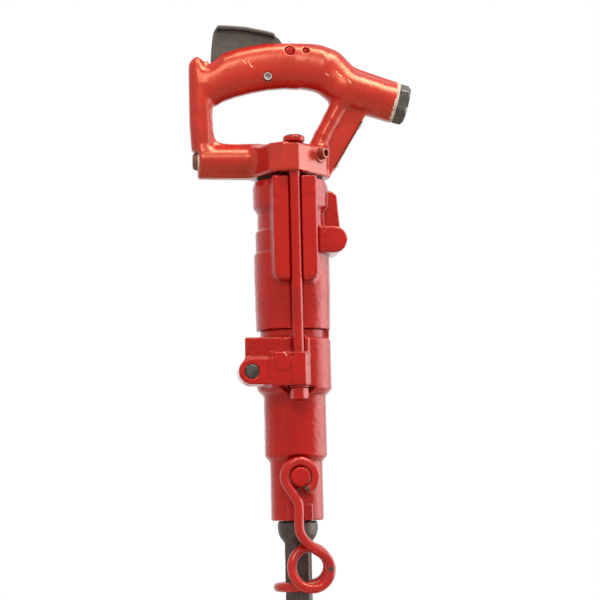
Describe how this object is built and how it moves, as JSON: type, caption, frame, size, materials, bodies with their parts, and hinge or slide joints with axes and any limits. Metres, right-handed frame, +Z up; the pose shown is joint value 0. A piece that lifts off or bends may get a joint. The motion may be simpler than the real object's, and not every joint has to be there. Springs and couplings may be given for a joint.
{
  "type": "pneumatic rock drill",
  "caption": "Hand-held pneumatic rock drill: red D-handle backhead with throttle lever, side-rod bolted cylinder, front head and sprung wire steel retainer.",
  "frame": {"origin": "middle of the hand grip on the drill axis", "axes": "+Z up the drill axis, +X to the air inlet, -Y to the front side rod, drill steel pointing down"},
  "size_m": [0.2049, 0.0966, 0.7036],
  "materials": {
    "casting_paint": "gloss",
    "hardware_paint": "gloss",
    "wire_paint": "gloss",
    "plug_paint": "satin",
    "dark_steel": "satin",
    "forged_steel": "satin",
    "bright_steel": "bright",
    "bronze": "satin",
    "gasket_fibre": "matte"
  },
  "bodies": {
    "housing": {"backhead_handle": "casting_paint", "lever_pivot_pin": "hardware_paint", "lever_rest_pin": "hardware_paint", "lever_stop_pin": "bright_steel", "throttle_valve_seat": "bronze", "throttle_spring": "bright_steel", "inlet_bushing": "dark_steel", "inlet_strainer": "bronze", "reservoir_plug": "plug_paint", "oil_plug": "hardware_paint", "data_plate": "bright_steel", "drive_screw_upper": "bright_steel", "drive_screw_lower": "bright_steel", "backhead_gasket": "gasket_fibre", "cylinder": "casting_paint", "front_head": "casting_paint", "lock_pin": "dark_steel", "side_rod_front": "hardware_paint", "side_rod_rear": "hardware_paint", "side_rod_washer_front": "hardware_paint", "side_rod_washer_rear": "hardware_paint", "side_rod_nut_front": "hardware_paint", "side_rod_nut_rear": "hardware_paint", "front_head_bushing": "bronze", "chuck_thrust_washer": "bronze", "ratchet_ring": "dark_steel", "valve_chest": "bronze", "valve_cover": "bronze", "cylinder_bushing": "bronze", "blow_tube": "bright_steel"},
    "throttle_lever": {"throttle_lever": "dark_steel"},
    "throttle_valve": {"throttle_valve": "bright_steel"},
    "steel_retainer": {"steel_retainer": "wire_paint"},
    "chuck": {"chuck": "dark_steel", "chuck_nut": "bronze"},
    "drill_steel": {"drill_steel": "forged_steel", "carbide_insert": "bright_steel"},
    "piston": {"piston": "bright_steel", "rifle_nut": "bronze"},
    "rifle_bar": {"rifle_bar": "dark_steel"},
    "pawl_1": {"pawl_1": "bright_steel"},
    "pawl_2": {"pawl_2": "bright_steel"},
    "pawl_3": {"pawl_3": "bright_steel"},
    "pawl_4": {"pawl_4": "bright_steel"},
    "valve_plate": {"valve_plate": "bright_steel"}
  },
  "joints": [
    {"name": "throttle_lever_hinge", "type": "hinge", "parent": "housing", "child": "throttle_lever", "pos_m": [0.0013, 0, 0.0108], "axis": [0, -1, 0], "range_deg": [0, 12], "stiffness_Nm_per_rad": 3, "springref_deg": -20.05},
    {"name": "throttle_valve_slide", "type": "slide", "parent": "housing", "child": "throttle_valve", "axis": [0.9681, 0, -0.2504], "range_m": [0, 0.0043], "deforming": ["throttle_spring"]},
    {"name": "steel_retainer_hinge", "type": "hinge", "parent": "housing", "child": "steel_retainer", "pos_m": [0, 0, -0.3771], "axis": [0, 1, 0], "range_deg": [0, 100]},
    {"name": "chuck_rotation", "type": "hinge", "parent": "housing", "child": "chuck", "pos_m": [0, 0, -0.3555], "axis": [0, 0, 1], "continuous": true},
    {"name": "drill_steel_slide", "type": "slide", "parent": "chuck", "child": "drill_steel", "axis": [0, 0, 1], "range_m": [-0.006, 0]},
    {"name": "piston_slide", "type": "slide", "parent": "chuck", "child": "piston", "axis": [0, 0, 1], "range_m": [0, 0.045]},
    {"name": "rifle_bar_rotation", "type": "hinge", "parent": "chuck", "child": "rifle_bar", "pos_m": [0, 0, -0.1235], "axis": [0, 0, 1], "range_deg": [0, 22.5]},
    {"name": "pawl_1_hinge", "type": "hinge", "parent": "rifle_bar", "child": "pawl_1", "pos_m": [0.0132, 0, -0.1185], "axis": [0, 0, -1], "range_deg": [0, 12]},
    {"name": "pawl_2_hinge", "type": "hinge", "parent": "rifle_bar", "child": "pawl_2", "pos_m": [0, 0.0132, -0.1185], "axis": [0, 0, -1], "range_deg": [0, 12]},
    {"name": "pawl_3_hinge", "type": "hinge", "parent": "rifle_bar", "child": "pawl_3", "pos_m": [-0.0132, 0, -0.1185], "axis": [0, 0, -1], "range_deg": [0, 12]},
    {"name": "pawl_4_hinge", "type": "hinge", "parent": "rifle_bar", "child": "pawl_4", "pos_m": [0, -0.0132, -0.1185], "axis": [0, 0, -1], "range_deg": [0, 12]},
    {"name": "valve_plate_slide", "type": "slide", "parent": "housing", "child": "valve_plate", "axis": [0, 0, 1], "range_m": [0, 0.0018]}
  ],
  "couplings": [
    {"joint": "throttle_valve_slide", "follows": "throttle_lever_hinge", "m_per_rad": 0.0202},
    {"joint": "rifle_bar_rotation", "follows": "piston_slide", "rad_per_m": 8.726},
    {"joint": "pawl_2_hinge", "follows": "pawl_1_hinge", "ratio": 1},
    {"joint": "pawl_3_hinge", "follows": "pawl_1_hinge", "ratio": 1},
    {"joint": "pawl_4_hinge", "follows": "pawl_1_hinge", "ratio": 1}
  ]
}
